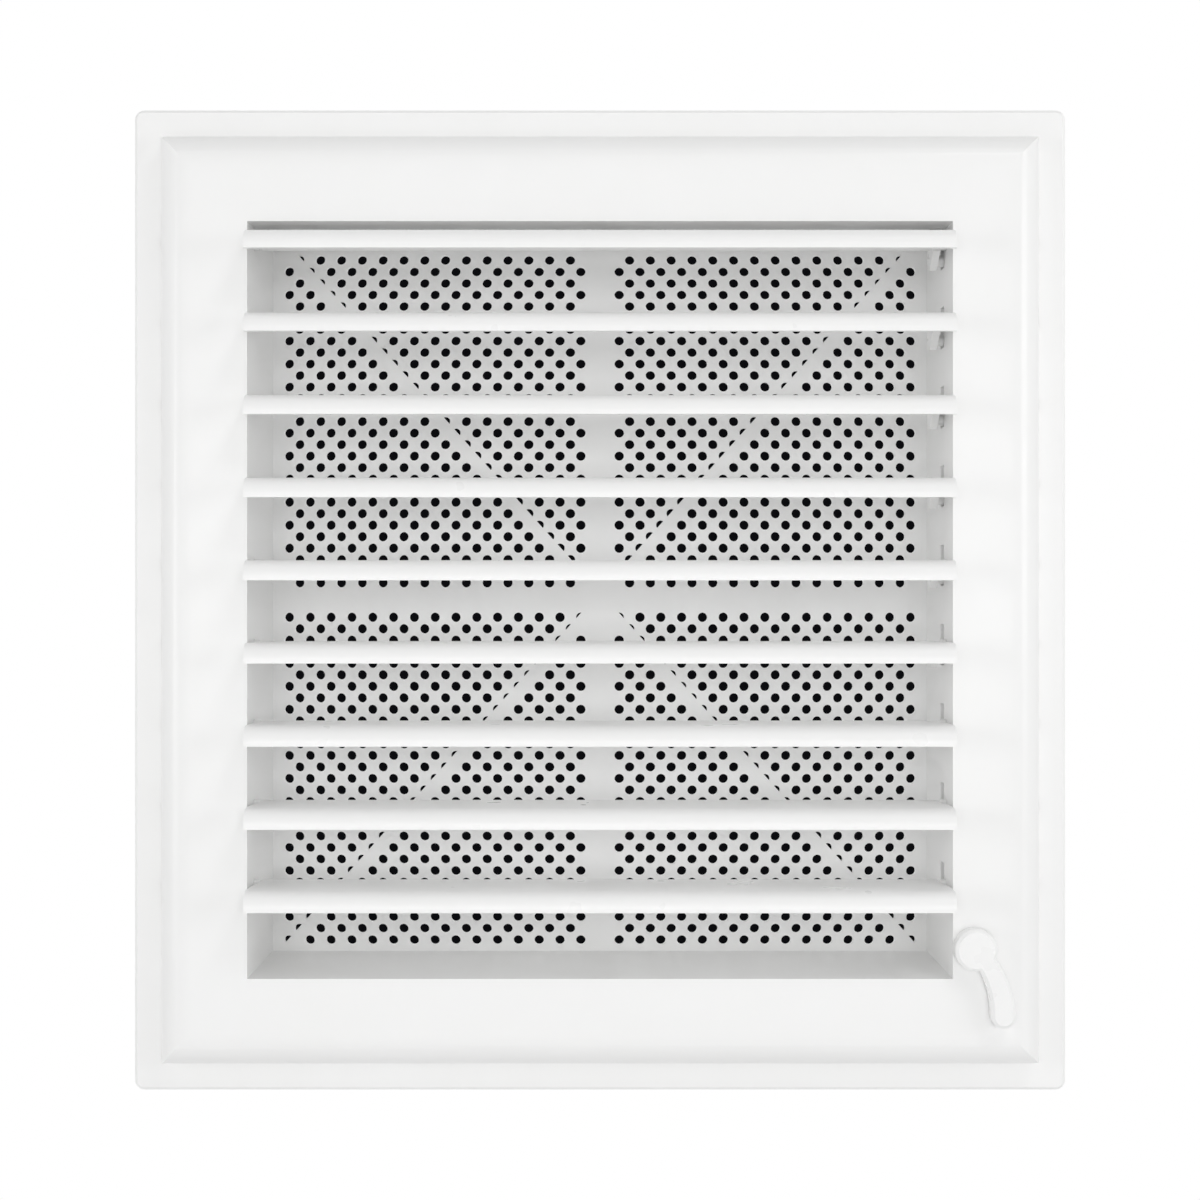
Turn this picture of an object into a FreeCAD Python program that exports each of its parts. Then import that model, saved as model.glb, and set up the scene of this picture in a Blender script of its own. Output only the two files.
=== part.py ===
import FreeCAD, Part
import math
import os

Vector = FreeCAD.Vector

# Closable louvre ventilation grille for a wall, all moulded in white plastic.
# Millimetres. X is to the right, Z is up, and the front looks along -Y.
# The wall's surface is the plane y = 0, and the origin is the grille's centre on it.
# It is modelled with its louvres open.

# Opening and the face round it, which is as wide as the drive behind its right side needs
opening_width = 141.2
opening_height = 151.6
border_height = 24.2
face_depth = 10.0
corner_radius = 2.0

# Wall frame: flange, sleeve into the duct and the lip behind the insect screen
rim_width = 5.8
flange_thickness = 2.0
edge_chamfer = 0.6
sleeve_wall = 1.6
sleeve_lip_thickness = 2.0
fixing_hole_radius = 2.1
fixing_hole_land = 1.3

# Front frame: moulded shell with a rounded slope, and the skirt that carries the louvres
slope_radius = 7.4
shell_corner_radius = 1.4
shell_wall = 2.0
skirt_wall = 1.6
skirt_depth = 22.0
gusset_thickness = 1.2
gusset_front_gap = 0.6
gusset_spacing = 35.0
snap_length = 12.0
snap_height = 0.8
snap_depth = 3.0
snap_from_back = 8.0
snap_offset = 40.0

# Insect screen
screen_thickness = 1.4
screen_column_pitch = 4.5
screen_slot_width = 2.0
screen_centre_bar = 6.3
screen_cross_bar = 5.5
screen_slot_margin = 0.9
screen_rib_width = 2.4
screen_hub_radius = 6.5

# Louvres
louvre_count = 9
top_pivot_drop = 3.3
bottom_gap = 1.3
pivot_depth = 8.5
blade_thickness = 1.4
blade_root = 3.0
nose_radius = 3.3
lip_length = 0.7
pivot_pin_radius = 1.1
blade_end_inset = 0.8
blade_inset_taper = 6.0
closed_angle = 74.0

# Drive from the lever to the louvres
drive_radius = 4.5
drive_pin_radius = 1.2
drive_lug_radius = 1.9
drive_lug_thickness = 1.5
tie_bar_thickness = 1.8
tie_bar_width = 4.8
lever_rise = 6.2
lever_length = 16.6
lever_hub_radius = 4.2
lever_neck_width = 3.7
lever_width = 4.8
lever_thickness = 3.0
lever_wave = 0.9
lever_open_angle = -64.0
lever_travel_angle = 58.0
axle_radius = 1.5
axle_square = 2.1
crank_thickness = 2.2
crank_hub_radius = 2.3
crank_end_radius = 1.8
foot_thickness = 1.8

# Named clearances
running_clearance = 0.1
slot_clearance = 0.3
side_clearance = 0.5
plate_clearance = 0.3
sleeve_clearance = 0.5
bar_clearance = 1.0
lip_clearance = 0.3
foot_clearance = 3.514
square_clearance = 0.03

# Places worked out from the sizes above
half_opening_x = opening_width / 2
half_opening_z = opening_height / 2
louvre_pitch = (opening_height - top_pivot_drop - bottom_gap) / louvre_count
blade_reach = louvre_pitch - lip_clearance
front_y = -face_depth
flange_front_y = -flange_thickness
skirt_outer_x = half_opening_x + skirt_wall
skirt_outer_z = half_opening_z + skirt_wall
tie_bar_inner_x = skirt_outer_x + plate_clearance
tie_bar_outer_x = tie_bar_inner_x + tie_bar_thickness
sleeve_inner_x = tie_bar_outer_x + bar_clearance
sleeve_inner_z = skirt_outer_z + sleeve_clearance
lip_front_y = skirt_depth + screen_thickness
sleeve_back_y = lip_front_y + sleeve_lip_thickness
pivot_y = front_y + pivot_depth
blade_half_x = half_opening_x - side_clearance
half_swing = closed_angle / 2
drive_pin_drop = drive_radius * math.sin(math.radians(half_swing))
drive_pin_back = drive_radius * math.cos(math.radians(half_swing))
drive_pin_y = pivot_y + drive_pin_back
lever_x = skirt_outer_x + plate_clearance + crank_hub_radius
lever_z = -half_opening_z + lever_rise
crank_swing = lever_travel_angle / 2
crank_radius = drive_pin_drop / math.sin(math.radians(crank_swing))
crank_pin_x = lever_x + crank_radius * math.cos(math.radians(crank_swing))
crank_pin_far_x = lever_x + crank_radius
crank_pin_z = lever_z - drive_pin_drop
shell_inner_y = front_y + shell_wall
crank_front_y = shell_inner_y + plate_clearance
crank_back_y = crank_front_y + crank_thickness
foot_front_y = crank_back_y + plate_clearance
foot_back_y = foot_front_y + foot_thickness
foot_end_x = crank_pin_far_x + drive_pin_radius + slot_clearance + tie_bar_thickness
shell_half_x = foot_end_x + foot_clearance + shell_wall
face_half_x = shell_half_x + rim_width
face_half_z = half_opening_z + border_height
shell_half_z = face_half_z - rim_width
hollow_fall = (slope_radius - shell_wall) * (2 - math.sqrt(2))


def pivot_z(number):
    """Height of a louvre's pivot, counted from 1 at the top."""
    return half_opening_z - top_pivot_drop - louvre_pitch * (number - 1)


def block(low, high):
    """Box between two opposite corners."""
    size = Vector(*high) - Vector(*low)
    return Part.makeBox(size.x, size.y, size.z, Vector(*low))


def rod(centre, along, radius, length):
    """Round bar that starts at a point and runs along a direction."""
    return Part.makeCylinder(radius, length, Vector(*centre), Vector(*along))


def prism(edges, along):
    """Solid from a closed outline of edges, pushed along a vector."""
    wire = Part.Wire(Part.__sortEdges__(edges))
    return Part.Face(wire).extrude(Vector(*along))


def line(start, end):
    return Part.LineSegment(Vector(*start), Vector(*end)).toShape()


def arc(start, middle, end):
    return Part.Arc(Vector(*start), Vector(*middle), Vector(*end)).toShape()


def rounded_plate(half_x, half_z, radius, back, front):
    """Upright plate with rounded corners between two depths."""
    plate = block((-half_x, front, -half_z), (half_x, back, half_z))
    corners = [e for e in plate.Edges if abs(e.tangentAt(e.FirstParameter).y) > 0.9]
    return plate.makeFillet(radius, corners)


def hump(half_width, fall, back, front, across, along, length, rounded):
    """Bar whose section is flat in front and falls away at both sides, in a round or a straight slope."""

    def at(sideways, depth):
        point = across * sideways - along * (length / 2)
        return (point.x, depth, point.z)

    flat = half_width - fall
    drop = fall * (1 - math.sqrt(0.5))
    slopes = []
    for side in (-1, 1):
        low = at(side * half_width, front + fall)
        middle = at(side * (half_width - drop), front + drop)
        high = at(side * flat, front)
        slopes.append(arc(low, middle, high) if rounded else line(low, high))
    edges = slopes + [
        line(at(-flat, front), at(flat, front)),
        line(at(half_width, front + fall), at(half_width, back)),
        line(at(half_width, back), at(-half_width, back)),
        line(at(-half_width, back), at(-half_width, front + fall)),
    ]
    return prism(edges, along * length)


def pillow(half_x, half_z, fall, back, front, rounded):
    """Block with a slope on its four front edges, mitred at the corners."""
    x_axis = Vector(1, 0, 0)
    z_axis = Vector(0, 0, 1)
    upright = hump(half_x, fall, back, front, x_axis, z_axis, 2 * half_z, rounded)
    level = hump(half_z, fall, back, front, z_axis, x_axis, 2 * half_x, rounded)
    return upright.common(level)


def tab(start, end, half_width, x_low, x_high):
    """Plate across X from one (y, z) point to another, with the corners of its far end cut off."""
    a = Vector(x_low, *start)
    b = Vector(x_low, *end)
    run = (b - a).normalize() * half_width
    side = Vector(0, -run.z, run.y)
    cut = math.tan(math.radians(22.5))
    corners = [a + side, b + side + run * cut, b + side * cut + run]
    corners += [b - side * cut + run, b - side + run * cut, a - side]
    outline = Part.makePolygon(corners + corners[:1])
    return Part.Face(outline).extrude(Vector(x_high - x_low, 0, 0))


def front_edges(solid):
    """Edges round the foremost flat face of a solid."""
    return min(solid.Faces, key=lambda face: face.CenterOfMass.y).Edges


def pivot_bore(z):
    """Eight-sided bore through both side walls of the skirt for one louvre's pivot pins."""
    corner = (pivot_pin_radius + running_clearance) / math.cos(math.pi / 8)
    corners = []
    for step in range(8):
        turn = math.pi * (2 * step + 1) / 8
        corners.append(Vector(-face_half_x, pivot_y + corner * math.cos(turn), z + corner * math.sin(turn)))
    outline = Part.makePolygon(corners + corners[:1])
    return Part.Face(outline).extrude(Vector(2 * face_half_x, 0, 0))


def drive_window(z):
    """Window in the right skirt wall in which one louvre's drive pin swings."""
    room = drive_pin_radius + slot_clearance
    return block(
        (half_opening_x - side_clearance, drive_pin_y - room, z - drive_pin_drop - room),
        (skirt_outer_x + side_clearance, pivot_y + drive_radius + room, z + drive_pin_drop + room),
    )


def gusset(across, along, place, skirt_outer, shell_inner):
    """Thin rib behind the front face, from the skirt out towards the shell's slope."""
    back = flange_front_y - gusset_front_gap
    far = shell_inner - hollow_fall

    def at(outwards, depth):
        point = across * outwards + along * (place - gusset_thickness / 2)
        return (point.x, depth, point.z)

    edges = [
        line(at(skirt_outer, back), at(skirt_outer, shell_inner_y)),
        line(at(skirt_outer, shell_inner_y), at(far, shell_inner_y)),
        line(at(far, shell_inner_y), at(shell_inner, shell_inner_y + hollow_fall)),
        line(at(shell_inner, shell_inner_y + hollow_fall), at(shell_inner, back)),
        line(at(shell_inner, back), at(skirt_outer, back)),
    ]
    return prism(edges, along * gusset_thickness)


def snap(x, side):
    """Wedge on the skirt's top or bottom that clicks into a window of the sleeve."""
    back = skirt_depth - snap_from_back
    front = back - snap_depth
    base = side * skirt_outer_z
    tip = side * (skirt_outer_z + sleeve_clearance + snap_height)
    low = x - snap_length / 2
    edges = [
        line((low, back, base), (low, front, base)),
        line((low, front, base), (low, front, tip)),
        line((low, front, tip), (low, back, base)),
    ]
    return prism(edges, (snap_length, 0, 0))


def snap_window(x, side):
    """Window of the sleeve that holds a snap wedge."""
    back = skirt_depth - snap_from_back + plate_clearance
    front = back - snap_depth - 2 * plate_clearance
    half = snap_length / 2 + plate_clearance
    heights = sorted([side * skirt_outer_z, side * (sleeve_inner_z + 2 * sleeve_wall)])
    return block((x - half, front, heights[0]), (x + half, back, heights[1]))


def front_frame():
    """Visible shell with the skirt that carries every pivot."""
    outline = rounded_plate(shell_half_x, shell_half_z, shell_corner_radius, flange_front_y, front_y)
    shell = pillow(shell_half_x, shell_half_z, slope_radius, flange_front_y, front_y, True)
    shell = shell.common(outline)
    inner_x = shell_half_x - shell_wall
    inner_z = shell_half_z - shell_wall
    hollow = pillow(inner_x, inner_z, hollow_fall, flange_front_y, shell_inner_y, False)
    shell = shell.cut(hollow)
    skirt = block(
        (-skirt_outer_x, shell_inner_y, -skirt_outer_z),
        (skirt_outer_x, skirt_depth, skirt_outer_z),
    )
    ribs = []
    for side in (-1, 1):
        for step in (-1.5, -0.5, 0.5, 1.5):
            place = step * gusset_spacing
            ribs.append(gusset(Vector(0, 0, side), Vector(1, 0, 0), place, skirt_outer_z, inner_z))
        for number in range(2, louvre_count, 2):
            place = pivot_z(number)
            ribs.append(gusset(Vector(side, 0, 0), Vector(0, 0, 1), place, skirt_outer_x, inner_x))
    wedges = [snap(x, side) for x in (-snap_offset, snap_offset) for side in (-1, 1)]
    frame = shell.multiFuse([skirt] + ribs + wedges)
    cuts = [
        block(
            (-half_opening_x, front_y - face_depth, -half_opening_z),
            (half_opening_x, skirt_depth + face_depth, half_opening_z),
        ),
        rod((lever_x, front_y, lever_z), (0, 1, 0), axle_radius + running_clearance, 2 * shell_wall),
    ]
    for number in range(1, louvre_count + 1):
        z = pivot_z(number)
        cuts.append(pivot_bore(z))
        cuts.append(drive_window(z))
    lug_room = drive_lug_radius + slot_clearance
    lug_x = half_opening_x - side_clearance - blade_end_inset - drive_lug_thickness - slot_clearance
    cuts.append(
        block(
            (lug_x, pivot_y, 0),
            (half_opening_x, pivot_y + drive_radius + lug_room, skirt_outer_z),
        )
    )
    return frame.cut(Part.makeCompound(cuts)).removeSplitter()


def wall_frame():
    """Flange screwed to the wall, with the sleeve that goes into the duct opening."""
    flange = rounded_plate(face_half_x, face_half_z, corner_radius, 0, flange_front_y)
    flange = flange.makeChamfer(edge_chamfer, front_edges(flange))
    sleeve = block(
        (-sleeve_inner_x - sleeve_wall, flange_front_y, -sleeve_inner_z - sleeve_wall),
        (sleeve_inner_x + sleeve_wall, sleeve_back_y, sleeve_inner_z + sleeve_wall),
    )
    cuts = [
        block(
            (-sleeve_inner_x, flange_front_y, -sleeve_inner_z),
            (sleeve_inner_x, lip_front_y, sleeve_inner_z),
        ),
        block(
            (-half_opening_x, lip_front_y, -half_opening_z),
            (half_opening_x, sleeve_back_y, half_opening_z),
        ),
    ]
    cuts += [snap_window(x, side) for x in (-snap_offset, snap_offset) for side in (-1, 1)]
    hole_x = shell_half_x - shell_wall - fixing_hole_land - fixing_hole_radius
    hole_z = shell_half_z - shell_wall - fixing_hole_land - fixing_hole_radius
    for x in (-hole_x, hole_x):
        for z in (-hole_z, hole_z):
            cuts.append(rod((x, flange_front_y, z), (0, 1, 0), fixing_hole_radius, flange_thickness))
    return flange.fuse(sleeve).cut(Part.makeCompound(cuts)).removeSplitter()


def screen_rib(angle):
    """One diagonal rib through the middle of the insect screen."""
    reach = math.hypot(half_opening_x, half_opening_z)
    rib = block(
        (-reach, skirt_depth, -screen_rib_width / 2),
        (reach, skirt_depth + screen_thickness, screen_rib_width / 2),
    )
    rib.rotate(Vector(0, 0, 0), Vector(0, 1, 0), angle)
    return rib


def insect_screen():
    """Loose screen between the skirt and the sleeve's lip, with fine upright gaps and an X of ribs."""
    half_x = sleeve_inner_x - plate_clearance
    half_z = sleeve_inner_z - plate_clearance
    back = skirt_depth + screen_thickness
    plate = block((-half_x, skirt_depth, -half_z), (half_x, back, half_z))
    top = half_opening_z - screen_slot_margin
    first_column = (screen_centre_bar + screen_slot_width) / 2
    room = half_opening_x - screen_slot_margin - screen_slot_width / 2 - first_column
    columns = 1 + math.floor(room / screen_column_pitch)
    slots = []
    for column in range(columns):
        centre = first_column + column * screen_column_pitch
        for side in (-1, 1):
            left = side * centre - screen_slot_width / 2
            right = left + screen_slot_width
            slots.append(block((left, skirt_depth, screen_cross_bar / 2), (right, back, top)))
            slots.append(block((left, skirt_depth, -top), (right, back, -screen_cross_bar / 2)))
    last_column = first_column + (columns - 1) * screen_column_pitch
    tilt = math.degrees(math.atan2(top, last_column))
    window = block((-half_opening_x, skirt_depth, -half_opening_z), (half_opening_x, back, half_opening_z))
    hub = rod((0, skirt_depth, 0), (0, 1, 0), screen_hub_radius, screen_thickness)
    ribs = screen_rib(tilt).fuse(screen_rib(-tilt)).common(window).fuse(hub)
    return plate.cut(Part.makeCompound(slots)).fuse(ribs).removeSplitter()


def louvre(number):
    """Blade with a rounded nose, a pivot pin at each end and a drive pin on a lug at its right."""
    half = blade_thickness / 2
    nose_y = -blade_reach
    centre_z = half - nose_radius
    lip_z = centre_z - lip_length
    bend_y = nose_y + nose_radius
    inner = nose_radius - blade_thickness
    corner = math.sqrt(0.5)
    left = -blade_half_x
    edges = [
        line((left, blade_root, half), (left, bend_y, half)),
        arc(
            (left, bend_y, half),
            (left, bend_y - nose_radius * corner, centre_z + nose_radius * corner),
            (left, nose_y, centre_z),
        ),
        line((left, nose_y, centre_z), (left, nose_y, lip_z)),
        line((left, nose_y, lip_z), (left, nose_y + blade_thickness, lip_z)),
        line((left, nose_y + blade_thickness, lip_z), (left, nose_y + blade_thickness, centre_z)),
        arc(
            (left, nose_y + blade_thickness, centre_z),
            (left, bend_y - inner * corner, centre_z + inner * corner),
            (left, bend_y, -half),
        ),
        line((left, bend_y, -half), (left, blade_root, -half)),
        line((left, blade_root, -half), (left, blade_root, half)),
    ]
    blade = prism(edges, (2 * blade_half_x, 0, 0))
    pin_face = blade_half_x - blade_end_inset
    for side in (-1, 1):
        corners = [
            Vector(side * half_opening_x, blade_root, -blade_thickness),
            Vector(side * pin_face, blade_root, -blade_thickness),
            Vector(side * pin_face, -blade_root, -blade_thickness),
            Vector(side * half_opening_x, -blade_root - blade_inset_taper, -blade_thickness),
        ]
        outline = Part.makePolygon(corners + corners[:1])
        blade = blade.cut(Part.Face(outline).extrude(Vector(0, 0, 2 * blade_thickness)))
    pin_length = skirt_outer_x - pin_face
    lug = tab(
        (0, 0),
        (drive_pin_back, -drive_pin_drop),
        drive_lug_radius,
        pin_face - drive_lug_thickness,
        pin_face,
    )
    trim = block(
        (pin_face - 2 * drive_lug_thickness, -blade_reach, half),
        (pin_face + drive_lug_thickness, blade_reach, blade_reach),
    )
    solid = blade.multiFuse([
        lug.cut(trim),
        rod((-pin_face, 0, 0), (-1, 0, 0), pivot_pin_radius, pin_length),
        rod((pin_face, 0, 0), (1, 0, 0), pivot_pin_radius, pin_length),
        rod(
            (pin_face, drive_pin_back, -drive_pin_drop),
            (1, 0, 0),
            drive_pin_radius,
            tie_bar_outer_x - pin_face,
        ),
    ])
    solid.translate(Vector(0, pivot_y, pivot_z(number)))
    return solid


def tie_bar():
    """Upright strip beside the skirt that joins the drive pins, with a slotted foot for the crank."""
    front = drive_pin_y - tie_bar_width / 2
    back = drive_pin_y + tie_bar_width / 2
    top = pivot_z(1) - drive_pin_drop + tie_bar_width / 2
    foot_half = drive_pin_radius + tie_bar_thickness
    bottom = crank_pin_z - foot_half
    foot_top = crank_pin_z + foot_half
    strip = block((tie_bar_inner_x, front, bottom), (tie_bar_outer_x, back, top))
    arm = block((tie_bar_inner_x, foot_front_y, bottom), (tie_bar_outer_x, back, foot_top))
    foot = block((tie_bar_inner_x, foot_front_y, bottom), (foot_end_x, foot_back_y, foot_top))
    solid = strip.multiFuse([arm, foot])
    hole = drive_pin_radius + running_clearance
    cuts = []
    for number in range(1, louvre_count + 1):
        z = pivot_z(number) - drive_pin_drop
        cuts.append(rod((tie_bar_inner_x, drive_pin_y, z), (1, 0, 0), hole, tie_bar_thickness))
        cuts.append(block((tie_bar_inner_x, drive_pin_y, z - hole), (tie_bar_outer_x, back, z + hole)))
    slot_low = crank_pin_x - slot_clearance
    slot_high = crank_pin_far_x + slot_clearance
    cuts.append(rod((slot_low, foot_front_y, crank_pin_z), (0, 1, 0), hole, foot_thickness))
    cuts.append(rod((slot_high, foot_front_y, crank_pin_z), (0, 1, 0), hole, foot_thickness))
    cuts.append(
        block((slot_low, foot_front_y, crank_pin_z - hole), (slot_high, foot_back_y, crank_pin_z + hole))
    )
    for cutter in cuts:
        solid = solid.cut(cutter)
    return solid.removeSplitter()


def turned(shape, degrees):
    """Shape swung in the plane of the face about the lever's axle, anticlockwise from the front."""
    shape.rotate(Vector(lever_x, 0, lever_z), Vector(0, -1, 0), degrees)
    return shape


def square_bar(size, low_y, high_y):
    """Square end of the lever's axle, or the hole for it."""
    half = size / 2
    return block((lever_x - half, low_y, lever_z - half), (lever_x + half, high_y, lever_z + half))


def lever():
    """Finger lever with a waved arm, and the axle that passes through the front face."""
    back = front_y - plate_clearance
    front = back - lever_thickness
    neck = lever_neck_width / 2
    tip = lever_width / 2
    reach = lever_length - tip
    halves = [neck, (neck + tip) / 2, tip]
    middle = [
        Vector(lever_x, front, lever_z),
        Vector(lever_x + reach / 2, front, lever_z + lever_wave),
        Vector(lever_x + reach, front, lever_z - lever_wave),
    ]
    centre = arc(*middle).Curve.Center
    outward = [(point - centre).normalize() for point in middle]
    upper = [point + out * half for point, out, half in zip(middle, outward, halves)]
    lower = [point - out * half for point, out, half in zip(middle, outward, halves)]
    onward = Vector(outward[2].z, 0, -outward[2].x)
    edges = [
        arc(*upper),
        arc(upper[2], middle[2] + onward * tip, lower[2]),
        arc(*lower),
        line(lower[0], upper[0]),
    ]
    arm = prism(edges, (0, lever_thickness, 0))
    arm = arm.makeChamfer(edge_chamfer, front_edges(arm))
    hub = rod((lever_x, front, lever_z), (0, 1, 0), lever_hub_radius, lever_thickness)
    hub = hub.makeChamfer(edge_chamfer, front_edges(hub))
    handle = turned(arm, lever_open_angle).fuse(hub).removeSplitter()
    axle = rod((lever_x, back, lever_z), (0, 1, 0), axle_radius, crank_front_y - back)
    square = turned(square_bar(axle_square, crank_front_y, crank_back_y), -crank_swing)
    return handle.multiFuse([axle, square])


def lever_crank():
    """Crank on the axle's square end behind the face, whose pin works in the tie bar's foot."""
    hub = rod((lever_x, crank_front_y, lever_z), (0, 1, 0), crank_hub_radius, crank_thickness)
    end = rod((crank_pin_far_x, crank_front_y, lever_z), (0, 1, 0), crank_end_radius, crank_thickness)
    web = block(
        (lever_x, crank_front_y, lever_z - crank_end_radius),
        (crank_pin_far_x, crank_back_y, lever_z + crank_end_radius),
    )
    pin_start = (crank_pin_far_x, crank_back_y, lever_z)
    pin = rod(pin_start, (0, 1, 0), drive_pin_radius, foot_back_y - crank_back_y)
    hole = square_bar(axle_square + 2 * square_clearance, crank_front_y, crank_back_y)
    crank = hub.multiFuse([end, web, pin]).cut(hole).removeSplitter()
    return turned(crank, -crank_swing)


pieces = {
    "front_frame": front_frame(),
    "wall_frame": wall_frame(),
    "insect_screen": insect_screen(),
    "tie_bar": tie_bar(),
    "lever": lever(),
    "lever_crank": lever_crank(),
}
for number in range(1, louvre_count + 1):
    pieces[f"louvre_{number}"] = louvre(number)

os.makedirs("parts", exist_ok=True)
for node, shape in pieces.items():
    solid = shape.Solids[0] if len(shape.Solids) == 1 else shape
    solid.exportStep(f"parts/{node}.step")
    print(node, len(shape.Solids), shape.isValid(), round(shape.Volume, 1))
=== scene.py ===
import bpy
import math
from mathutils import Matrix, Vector


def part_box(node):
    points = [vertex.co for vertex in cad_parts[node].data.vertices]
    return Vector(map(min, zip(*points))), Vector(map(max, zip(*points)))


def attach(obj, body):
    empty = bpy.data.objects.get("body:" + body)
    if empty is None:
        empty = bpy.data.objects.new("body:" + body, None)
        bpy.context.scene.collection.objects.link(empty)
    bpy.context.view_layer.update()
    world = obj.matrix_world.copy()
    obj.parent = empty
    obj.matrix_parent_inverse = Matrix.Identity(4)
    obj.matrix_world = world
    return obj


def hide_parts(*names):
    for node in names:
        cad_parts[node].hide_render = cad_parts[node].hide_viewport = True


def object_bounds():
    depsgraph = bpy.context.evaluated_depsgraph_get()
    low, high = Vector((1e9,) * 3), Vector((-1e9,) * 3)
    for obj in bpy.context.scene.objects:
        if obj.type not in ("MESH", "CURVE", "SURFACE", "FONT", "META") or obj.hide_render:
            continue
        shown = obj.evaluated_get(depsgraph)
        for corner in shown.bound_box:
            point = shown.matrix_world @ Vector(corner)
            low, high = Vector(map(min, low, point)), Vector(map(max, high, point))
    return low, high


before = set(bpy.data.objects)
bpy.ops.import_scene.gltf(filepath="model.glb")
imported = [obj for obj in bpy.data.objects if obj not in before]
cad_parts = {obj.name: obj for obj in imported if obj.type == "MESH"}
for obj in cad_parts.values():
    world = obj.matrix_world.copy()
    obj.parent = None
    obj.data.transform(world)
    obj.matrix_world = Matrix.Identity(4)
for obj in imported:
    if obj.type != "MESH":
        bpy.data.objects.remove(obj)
cad_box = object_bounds()
MM = 0.001


# Materials

CLOUD_SCALE, CLOUD_DETAIL, CLOUD_ROUGHNESS = 38.0, 4.0, 0.55     # cloud in the colour
SMEAR_SCALE, SMEAR_DETAIL = 120.0, 3.0                           # uneven gloss
WAVE_SCALE, WAVE_DETAIL = 90.0, 1.0                              # slow waves of the surface
GRAIN_DETAIL = 2.0                                               # fine grain of the mould
NOISE_LOW, NOISE_HIGH = 0.3, 0.7     # part of a noise's range that is spread over its effect
YELLOWING = 0.25                     # extra loss of blue in the cloud, as a share of its tint
GLOSS_SPREAD = 0.05                  # the roughness goes this far up and down
WAVE_WEIGHT = 2.5                    # height of the waves against the grain
BUMP_STRENGTH = 0.35
PLASTIC_IOR = 1.5


def empty_tree(owner):
    """Emptied node tree of a material or a world."""
    owner.use_nodes = True
    owner.node_tree.nodes.clear()
    return owner.node_tree


def plastic(name, colour, roughness, tint, grain, relief):
    """Moulded plastic with a faint cloud in its colour, an uneven gloss and a fine grain."""
    material = bpy.data.materials.new(name)
    tree = empty_tree(material)
    link = tree.links.new
    output = tree.nodes.new("ShaderNodeOutputMaterial")
    shader = tree.nodes.new("ShaderNodeBsdfPrincipled")
    shader.inputs["IOR"].default_value = PLASTIC_IOR
    link(shader.outputs["BSDF"], output.inputs["Surface"])
    place = tree.nodes.new("ShaderNodeTexCoord")

    def noise(scale, detail):
        node = tree.nodes.new("ShaderNodeTexNoise")
        node.inputs["Scale"].default_value = scale
        node.inputs["Detail"].default_value = detail
        link(place.outputs["Object"], node.inputs["Vector"])
        return node

    cloud = noise(CLOUD_SCALE, CLOUD_DETAIL)
    cloud.inputs["Roughness"].default_value = CLOUD_ROUGHNESS
    shade = tree.nodes.new("ShaderNodeValToRGB")
    dark = [c * (1 - tint) for c in colour]
    darkest, lightest = shade.color_ramp.elements
    darkest.position = NOISE_LOW
    darkest.color = (dark[0], dark[1], dark[2] * (1 - tint * YELLOWING), 1)
    lightest.position = NOISE_HIGH
    lightest.color = (*colour, 1)
    link(cloud.outputs["Fac"], shade.inputs["Fac"])
    link(shade.outputs["Color"], shader.inputs["Base Color"])

    smear = noise(SMEAR_SCALE, SMEAR_DETAIL)
    gloss = tree.nodes.new("ShaderNodeMapRange")
    gloss.inputs["From Min"].default_value = NOISE_LOW
    gloss.inputs["From Max"].default_value = NOISE_HIGH
    gloss.inputs["To Min"].default_value = roughness - GLOSS_SPREAD
    gloss.inputs["To Max"].default_value = roughness + GLOSS_SPREAD
    link(smear.outputs["Fac"], gloss.inputs["Value"])
    link(gloss.outputs["Result"], shader.inputs["Roughness"])

    fine = noise(grain, GRAIN_DETAIL)
    wave = noise(WAVE_SCALE, WAVE_DETAIL)
    both = tree.nodes.new("ShaderNodeMath")
    both.operation = "MULTIPLY_ADD"
    both.inputs[1].default_value = WAVE_WEIGHT
    bump = tree.nodes.new("ShaderNodeBump")
    bump.inputs["Strength"].default_value = BUMP_STRENGTH
    bump.inputs["Distance"].default_value = relief
    link(wave.outputs["Fac"], both.inputs[0])
    link(fine.outputs["Fac"], both.inputs[2])
    link(both.outputs["Value"], bump.inputs["Height"])
    link(bump.outputs["Normal"], shader.inputs["Normal"])
    return material


WHITE = (0.955, 0.955, 0.951)
# a little lighter than WHITE: painted light that lifts the screen, which lies shaded in its
# recess
SCREEN_WHITE = (0.96, 0.96, 0.958)
HIDDEN_WHITE = (0.89, 0.89, 0.886)
frame_plastic = plastic(
    "frame_plastic", WHITE, roughness=0.34, tint=0.012, grain=900.0, relief=0.03 * MM)
louvre_plastic = plastic(
    "louvre_plastic", WHITE, roughness=0.32, tint=0.012, grain=900.0, relief=0.03 * MM)
lever_plastic = plastic(
    "lever_plastic", WHITE, roughness=0.3, tint=0.012, grain=1100.0, relief=0.03 * MM)
screen_plastic = plastic(
    "screen_plastic", SCREEN_WHITE, roughness=0.46, tint=0.02, grain=1400.0, relief=0.04 * MM)
hidden_plastic = plastic(
    "hidden_plastic", HIDDEN_WHITE, roughness=0.5, tint=0.02, grain=1300.0, relief=0.05 * MM)


def dress(piece, material):
    """Puts a material on a piece or a CAD node."""
    if not piece.material_slots:
        piece.data.materials.append(material)
    for place in piece.material_slots:
        place.material = material


# Smooth shading and rounded edges of the CAD nodes

WELD_DISTANCE = 0.002 * MM
SMOOTH_LIMIT = math.radians(28)
ROUNDING_LIMIT = math.radians(40)
ROUNDING_SEGMENTS = 2


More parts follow.
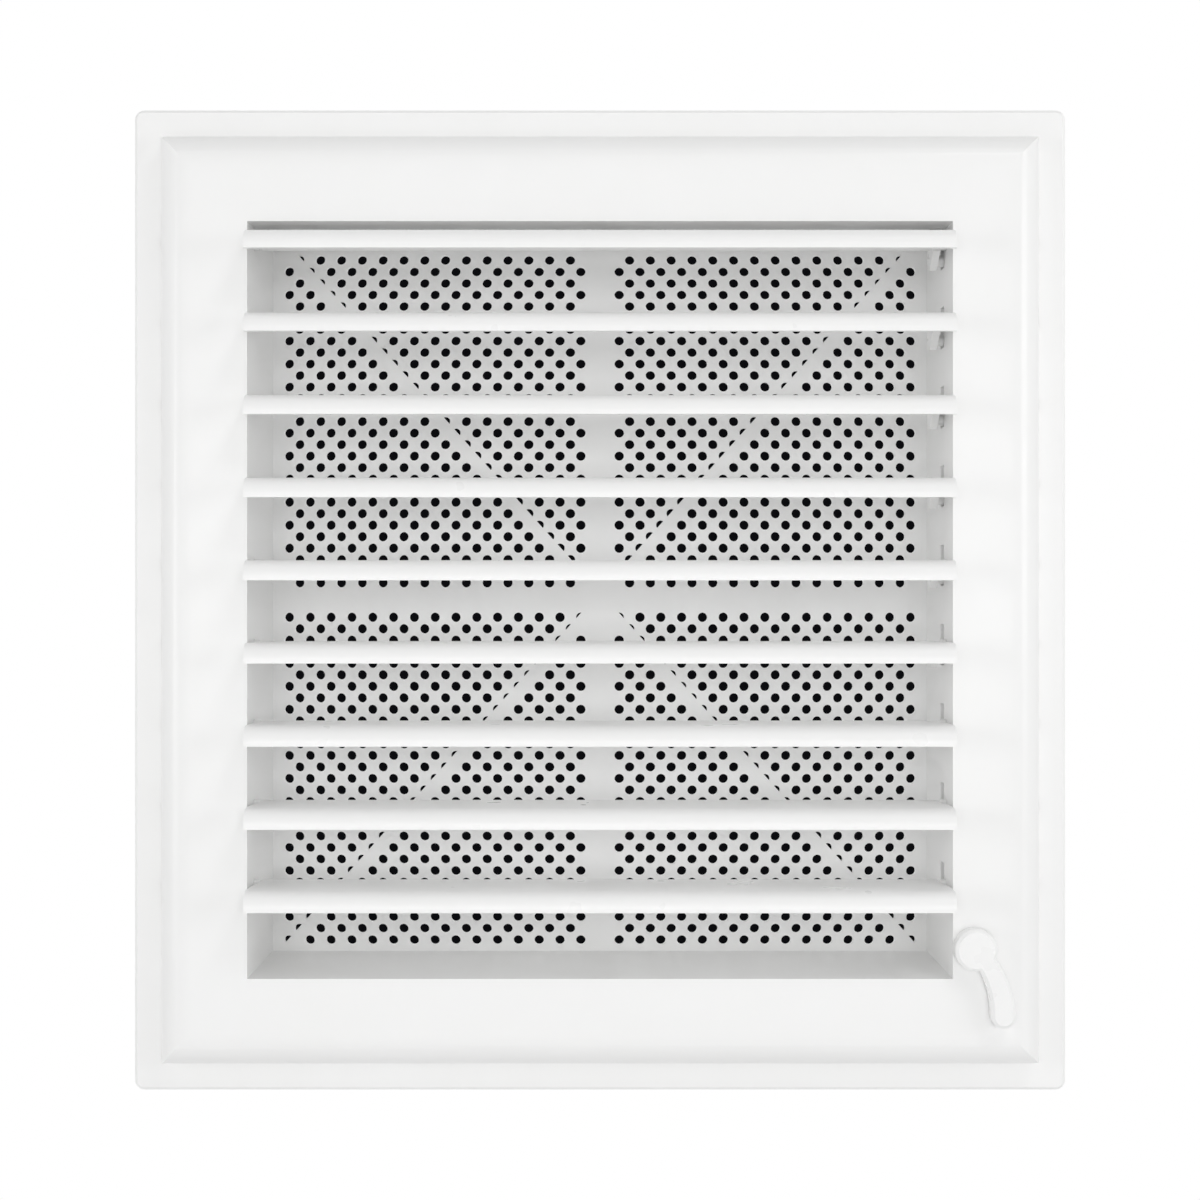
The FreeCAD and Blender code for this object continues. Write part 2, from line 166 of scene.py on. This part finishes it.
def soft_shading():
    """Node group that welds a CAD mesh and shades it smooth up to a limit angle."""
    group = bpy.data.node_groups.new("soft_shading", "GeometryNodeTree")
    for way in ("INPUT", "OUTPUT"):
        group.interface.new_socket("Geometry", in_out=way, socket_type="NodeSocketGeometry")
    start = group.nodes.new("NodeGroupInput")
    end = group.nodes.new("NodeGroupOutput")
    weld = group.nodes.new("GeometryNodeMergeByDistance")
    weld.inputs["Distance"].default_value = WELD_DISTANCE
    forget = group.nodes.new("GeometryNodeRemoveAttribute")
    forget.inputs["Name"].default_value = "custom_normal"
    angle = group.nodes.new("GeometryNodeInputMeshEdgeAngle")
    sharp = group.nodes.new("FunctionNodeCompare")
    sharp.data_type = "FLOAT"
    sharp.operation = "GREATER_THAN"
    sharp.inputs["B"].default_value = SMOOTH_LIMIT
    faces = group.nodes.new("GeometryNodeSetShadeSmooth")
    faces.domain = "FACE"
    edges = group.nodes.new("GeometryNodeSetShadeSmooth")
    edges.domain = "EDGE"
    edges.inputs["Shade Smooth"].default_value = False
    link = group.links.new
    link(start.outputs[0], weld.inputs["Geometry"])
    link(weld.outputs["Geometry"], forget.inputs["Geometry"])
    link(forget.outputs["Geometry"], faces.inputs["Geometry"])
    link(faces.outputs["Geometry"], edges.inputs["Geometry"])
    link(angle.outputs["Unsigned Angle"], sharp.inputs["A"])
    link(sharp.outputs["Result"], edges.inputs["Selection"])
    link(edges.outputs["Geometry"], end.inputs[0])
    return group


SOFT = soft_shading()


def soften(piece, width):
    """Welds and smooths a CAD node and rounds its edges a little."""
    shading = piece.modifiers.new("soft_shading", "NODES")
    shading.node_group = SOFT
    rounding = piece.modifiers.new("rounding", "BEVEL")
    rounding.width = width
    rounding.segments = ROUNDING_SEGMENTS
    rounding.limit_method = "ANGLE"
    rounding.angle_limit = ROUNDING_LIMIT
    rounding.use_clamp_overlap = True
    rounding.harden_normals = True


# Material and width of the rounding for each kind of node. The screen's node is replaced below.
FINISHES = {
    "front_frame": (frame_plastic, 0.25 * MM),
    "wall_frame": (frame_plastic, 0.25 * MM),
    "louvre": (louvre_plastic, 0.2 * MM),
    "lever": (lever_plastic, 0.25 * MM),
    "tie_bar": (hidden_plastic, 0.15 * MM),
    "lever_crank": (hidden_plastic, 0.15 * MM),
    "insect_screen": (screen_plastic, None),
}

for name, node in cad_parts.items():
    kind = "louvre" if name.startswith("louvre") else name
    material, width = FINISHES[kind]
    dress(node, material)
    if width:
        soften(node, width)


# Insect screen with its staggered round holes, in two fields beside a plain upright bar

COLUMN = 4.5 * MM            # spacing of the holes along a row
ROW = 2.49 * MM              # spacing of the rows, which are staggered by half a column
ROWS = 60
BAR_ROWS = (ROWS // 2 - 1, ROWS // 2)    # rows without holes, which make the level bar
ODD_HOLES = 15               # holes of an odd row in each field, an even row has one fewer
HOLE_RADIUS = 1.03 * MM
HOLE_SIDES = 16
FIRST_COLUMN = 4.15 * MM     # nearest hole from the middle
HALF_COLUMN = COLUMN / 2
INNER = FIRST_COLUMN - HALF_COLUMN       # sides of a field and half its height
OUTER = INNER + COLUMN * ODD_HOLES
TOP = ROW * ROWS / 2
RIB_HALF = 1.2 * MM          # half the width of a diagonal rib
RIB_SUNK = 0.06 * MM         # its faces lie this far under those of the sheet
RIB_TILT = math.atan2(74.9, 67.15)
SNAP = 1e7                   # corners closer than a ten-millionth of a metre are one
BOX_FACES = ((0, 1, 2, 3), (7, 6, 5, 4), (0, 4, 5, 1), (1, 5, 6, 2), (2, 6, 7, 3), (3, 7, 4, 0))


class Sheet:
    """Corners and faces of a flat sheet between a front and a back depth."""

    def __init__(self, front, back):
        self.front, self.back = front, back
        self.verts, self.faces, self.index = [], [], {}

    def corner(self, x, y, z):
        """Number of the corner at a point, which is made when it's new."""
        key = (round(x * SNAP), round(y * SNAP), round(z * SNAP))
        if key not in self.index:
            self.index[key] = len(self.verts)
            self.verts.append((x, y, z))
        return self.index[key]

    def patch(self, points):
        """Front and back face over an outline that is anticlockwise as seen from the front."""
        self.faces.append([self.corner(x, self.front, z) for x, z in points])
        self.faces.append([self.corner(x, self.back, z) for x, z in reversed(points)])

    def block(self, x1, x2, z1, z2):
        """Front and back face over a rectangle."""
        self.patch([(x1, z1), (x2, z1), (x2, z2), (x1, z2)])

    def wall(self, a, b):
        """Face from the front to the back between two points of the outline."""
        self.faces.append([
            self.corner(a[0], self.front, a[1]), self.corner(b[0], self.front, b[1]),
            self.corner(b[0], self.back, b[1]), self.corner(a[0], self.back, a[1]),
        ])

    def cell(self, x, z, holed):
        """Piece of a row, one column wide, with or without its hole."""
        low, high = z - ROW / 2, z + ROW / 2
        ring = [
            (x + HALF_COLUMN, z), (x + HALF_COLUMN, high), (x, high), (x - HALF_COLUMN, high),
            (x - HALF_COLUMN, z), (x - HALF_COLUMN, low), (x, low), (x + HALF_COLUMN, low),
        ]
        if not holed:
            self.patch(ring)
            return
        hole = []
        for n in range(HOLE_SIDES):
            turn = 2 * math.pi * n / HOLE_SIDES
            hole.append((x + HOLE_RADIUS * math.cos(turn), z + HOLE_RADIUS * math.sin(turn)))
        for n in range(len(ring)):
            m = (n + 1) % len(ring)
            self.patch([ring[n], ring[m], hole[2 * m], hole[2 * n + 1], hole[2 * n]])
        for n in range(HOLE_SIDES):
            self.wall(hole[n], hole[(n + 1) % HOLE_SIDES])

    def row(self, number):
        """One row of both fields. Even rows start and end with half a column without a hole."""
        z = (ROWS / 2 - 0.5 - number) * ROW
        for side in (-1, 1):
            if number % 2 == 1:
                centres = [INNER + HALF_COLUMN + COLUMN * n for n in range(ODD_HOLES)]
            else:
                centres = [INNER + COLUMN + COLUMN * n for n in range(ODD_HOLES - 1)]
                for a, b in ((INNER, INNER + HALF_COLUMN), (OUTER - HALF_COLUMN, OUTER)):
                    x1, x2 = sorted((side * a, side * b))
                    self.block(x1, x2, z - ROW / 2, z + ROW / 2)
            for centre in centres:
                self.cell(side * centre, z, number not in BAR_ROWS)

    def margins(self, low, high):
        """Upright bar and margins round the fields, with every point of the fields' edges."""
        steps_z = [-TOP + n * ROW / 2 for n in range(2 * ROWS + 1)]
        steps_x = [INNER + n * HALF_COLUMN for n in range(2 * ODD_HOLES + 1)]
        for a, b in zip(steps_z, steps_z[1:]):
            self.block(-INNER, INNER, a, b)
            self.block(OUTER, high.x, a, b)
            self.block(low.x, -OUTER, a, b)
        across = [low.x] + [-x for x in reversed(steps_x)] + steps_x + [high.x]
        for a, b in zip(across, across[1:]):
            self.block(a, b, TOP, high.z)
            self.block(a, b, low.z, -TOP)
        for a, b in zip(across, across[1:]):
            self.wall((a, high.z), (b, high.z))
            self.wall((b, low.z), (a, low.z))
        heights = [low.z] + steps_z + [high.z]
        for a, b in zip(heights, heights[1:]):
            self.wall((high.x, b), (high.x, a))
            self.wall((low.x, a), (low.x, b))

    def rib(self, tilt):
        """Diagonal rib that lies across the holes, just under both faces of the sheet."""
        reach = math.hypot(OUTER, TOP)
        along = Vector((math.cos(tilt), 0, math.sin(tilt)))
        beside = Vector((-along.z, 0, along.x)) * RIB_HALF
        first = len(self.verts)
        for depth in (self.front + RIB_SUNK, self.back - RIB_SUNK):
            for end, side in ((-reach, -1), (reach, -1), (reach, 1), (-reach, 1)):
                point = along * end + beside * side
                self.verts.append((point.x, depth, point.z))
        for ring in BOX_FACES:
            self.faces.append([first + n for n in ring])


def insect_screen():
    """Closed sheet with round holes, plain along its cross, with two diagonal ribs."""
    low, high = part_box("insect_screen")
    sheet = Sheet(low.y, high.y)
    for number in range(ROWS):
        sheet.row(number)
    sheet.margins(low, high)
    for tilt in (RIB_TILT, -RIB_TILT):
        sheet.rib(tilt)
    mesh = bpy.data.meshes.new("insect_screen_mesh")
    mesh.from_pydata(sheet.verts, [], sheet.faces)
    mesh.validate()
    for polygon in mesh.polygons:      # only the walls of the holes are smooth
        level = abs(polygon.normal.y) < 0.5
        polygon.use_smooth = level and abs(polygon.center.x) < OUTER
    made = bpy.data.objects.new("insect_screen_mesh", mesh)
    bpy.context.scene.collection.objects.link(made)
    return made


screen = insect_screen()
dress(screen, screen_plastic)
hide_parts("insect_screen")
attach(screen, "grille_body")


# Floor, and a black card of painted shade behind the screen

FLOOR_Z = -0.25
FLOOR_SIDE, FLOOR_FRONT, FLOOR_BACK = 1.5, -1.6, 0.4
FLOOR_PALE = (0.88, 0.88, 0.88, 1)       # colour that lights the object from below
FLOOR_SEEN = (0.45, 0.45, 0.45, 1)       # colour that shows the shadow to the camera
FLOOR_GLOW = 0.6                         # brings the unshaded floor to white for the camera
SHADE_CARD_SIDE, SHADE_CARD_TOP = 0.0703, 0.0755     # half its width and half its height
SHADE_CARD_GAP = 0.0006                        # distance from the back of the object
# black of the painted shade that stands for the dark space behind the screen's holes
PAINTED_SHADE_BLACK = (0.004, 0.004, 0.005, 1)


def plane(name, corners):
    """Four-cornered face that belongs to the stage."""
    mesh = bpy.data.meshes.new(name)
    mesh.from_pydata(corners, [], [[0, 1, 2, 3]])
    made = bpy.data.objects.new(name, mesh)
    bpy.context.scene.collection.objects.link(made)
    return made


def show_mix(tree, kind, factor, first, second):
    """Output that shows the first shader, and the second one where the factor is 1."""
    output = tree.nodes.new(kind)
    mix = tree.nodes.new("ShaderNodeMixShader")
    tree.links.new(factor, mix.inputs["Fac"])
    tree.links.new(first, mix.inputs[1])
    tree.links.new(second, mix.inputs[2])
    tree.links.new(mix.outputs["Shader"], output.inputs["Surface"])


def floor_material():
    """Pale floor that the camera sees as white, darker where a shadow falls on it."""
    material = bpy.data.materials.new("floor")
    tree = empty_tree(material)
    pale = tree.nodes.new("ShaderNodeBsdfDiffuse")
    pale.inputs["Color"].default_value = FLOOR_PALE
    shaded = tree.nodes.new("ShaderNodeBsdfDiffuse")
    shaded.inputs["Color"].default_value = FLOOR_SEEN
    glow = tree.nodes.new("ShaderNodeEmission")
    glow.inputs["Strength"].default_value = FLOOR_GLOW
    seen = tree.nodes.new("ShaderNodeAddShader")
    tree.links.new(shaded.outputs["BSDF"], seen.inputs[0])
    tree.links.new(glow.outputs["Emission"], seen.inputs[1])
    path = tree.nodes.new("ShaderNodeLightPath")
    show_mix(tree, "ShaderNodeOutputMaterial", path.outputs["Is Camera Ray"],
             pale.outputs["BSDF"], seen.outputs["Shader"])
    return material


def painted_shade_material():
    """Painted shade: black on the side that faces the room, and clear on the back side."""
    material = bpy.data.materials.new("painted_shade_card")
    tree = empty_tree(material)
    black = tree.nodes.new("ShaderNodeEmission")
    black.inputs["Color"].default_value = PAINTED_SHADE_BLACK
    clear = tree.nodes.new("ShaderNodeBsdfTransparent")
    side = tree.nodes.new("ShaderNodeNewGeometry")
    show_mix(tree, "ShaderNodeOutputMaterial", side.outputs["Backfacing"],
             black.outputs["Emission"], clear.outputs["BSDF"])
    return material


floor = plane("floor", [
    (-FLOOR_SIDE, FLOOR_FRONT, FLOOR_Z), (FLOOR_SIDE, FLOOR_FRONT, FLOOR_Z),
    (FLOOR_SIDE, FLOOR_BACK, FLOOR_Z), (-FLOOR_SIDE, FLOOR_BACK, FLOOR_Z),
])
dress(floor, floor_material())

# card of painted shade behind the object, seen by the camera alone, which darkens the screen's
# holes
shade_card_y = cad_box[1].y + SHADE_CARD_GAP
shade_card = plane("painted_shade_card", [
    (-SHADE_CARD_SIDE, shade_card_y, -SHADE_CARD_TOP), (SHADE_CARD_SIDE, shade_card_y, -SHADE_CARD_TOP),
    (SHADE_CARD_SIDE, shade_card_y, SHADE_CARD_TOP), (-SHADE_CARD_SIDE, shade_card_y, SHADE_CARD_TOP),
])
dress(shade_card, painted_shade_material())
shade_card.visible_diffuse = False
shade_card.visible_glossy = False
shade_card.visible_shadow = False
shade_card.visible_transmission = False


# Lamps, which all look at the middle of the object: name, place, width and height, power
LAMPS = (
    ("front", (0.0, -0.8, 0.02), (0.6, 0.25), 1.35),
    ("right", (0.95, -0.45, 0.12), (0.4, 0.4), 1.8),
    ("left", (-0.95, -0.45, 0.05), (0.4, 0.4), 1.95),
    ("top", (0.5, -0.6, 0.9), (0.3, 0.3), 1.85),
)

for name, place, size, power in LAMPS:
    data = bpy.data.lights.new(name, "AREA")
    data.shape = "RECTANGLE"
    data.size, data.size_y = size
    data.energy = power
    lamp = bpy.data.objects.new(name, data)
    lamp.location = place
    lamp.rotation_euler = (-Vector(place)).to_track_quat("-Z", "Y").to_euler()
    bpy.context.scene.collection.objects.link(lamp)


# World: soft light from all sides for the object, plain white for the camera and in reflections

BRIGHT_SIDE = Vector((0.0, -0.6, 0.8))       # above and in front
SIDE_RANGE = (-0.2, 0.95)                    # cosine to the bright side
SIDE_LEVELS = (0.26, 0.43)
BEHIND_RANGE = (0.0, 0.5)                    # direction's share of +Y, for the object's back
BEHIND_LEVELS = (0.0, 0.5)


def smooth_level(tree, value, reach, levels):
    """Level that goes smoothly from one to the other over the range of a value."""
    node = tree.nodes.new("ShaderNodeMapRange")
    node.interpolation_type = "SMOOTHSTEP"
    node.inputs["From Min"].default_value = reach[0]
    node.inputs["From Max"].default_value = reach[1]
    node.inputs["To Min"].default_value = levels[0]
    node.inputs["To Max"].default_value = levels[1]
    tree.links.new(value, node.inputs["Value"])
    return node.outputs["Result"]


def combined(tree, operation, first, second):
    """Result of a calculation with two values."""
    node = tree.nodes.new("ShaderNodeMath")
    node.operation = operation
    tree.links.new(first, node.inputs[0])
    tree.links.new(second, node.inputs[1])
    return node.outputs["Value"]


def studio_world():
    """World that lights the object unevenly and shows as white behind it."""
    world = bpy.data.worlds.new("studio")
    tree = empty_tree(world)
    seen = tree.nodes.new("ShaderNodeBackground")
    seen.inputs["Color"].default_value = (1, 1, 1, 1)
    seen.inputs["Strength"].default_value = 1.0
    lit = tree.nodes.new("ShaderNodeBackground")
    lit.inputs["Color"].default_value = (1, 1, 1, 1)

    direction = tree.nodes.new("ShaderNodeTexCoord")
    toward = tree.nodes.new("ShaderNodeVectorMath")
    toward.operation = "DOT_PRODUCT"
    toward.inputs[1].default_value = BRIGHT_SIDE.normalized()
    axes = tree.nodes.new("ShaderNodeSeparateXYZ")
    tree.links.new(direction.outputs["Generated"], toward.inputs[0])
    tree.links.new(direction.outputs["Generated"], axes.inputs["Vector"])
    level = smooth_level(tree, toward.outputs["Value"], SIDE_RANGE, SIDE_LEVELS)
    behind = smooth_level(tree, axes.outputs["Y"], BEHIND_RANGE, BEHIND_LEVELS)
    tree.links.new(combined(tree, "ADD", level, behind), lit.inputs["Strength"])

    path = tree.nodes.new("ShaderNodeLightPath")
    mirrored = combined(
        tree, "MAXIMUM", path.outputs["Is Glossy Ray"], path.outputs["Is Transmission Ray"])
    plain = combined(tree, "MAXIMUM", path.outputs["Is Camera Ray"], mirrored)
    show_mix(tree, "ShaderNodeOutputWorld", plain,
             lit.outputs["Background"], seen.outputs["Background"])
    return world


bpy.context.scene.world = studio_world()


# Camera

CAMERA_DISTANCE = 0.410
CAMERA_LENS, CAMERA_SENSOR = 60.0, 36.0      # millimetres
CAMERA_NEAR = 0.01

camera_data = bpy.data.cameras.new("camera")
camera_data.lens = CAMERA_LENS
camera_data.sensor_width = CAMERA_SENSOR
camera_data.clip_start = CAMERA_NEAR
camera = bpy.data.objects.new("camera", camera_data)
camera.location = (0, -CAMERA_DISTANCE, 0)
camera.rotation_euler = (math.radians(90), 0, 0)
bpy.context.scene.collection.objects.link(camera)
bpy.context.scene.camera = camera
bpy.context.scene.view_settings.view_transform = "Standard"
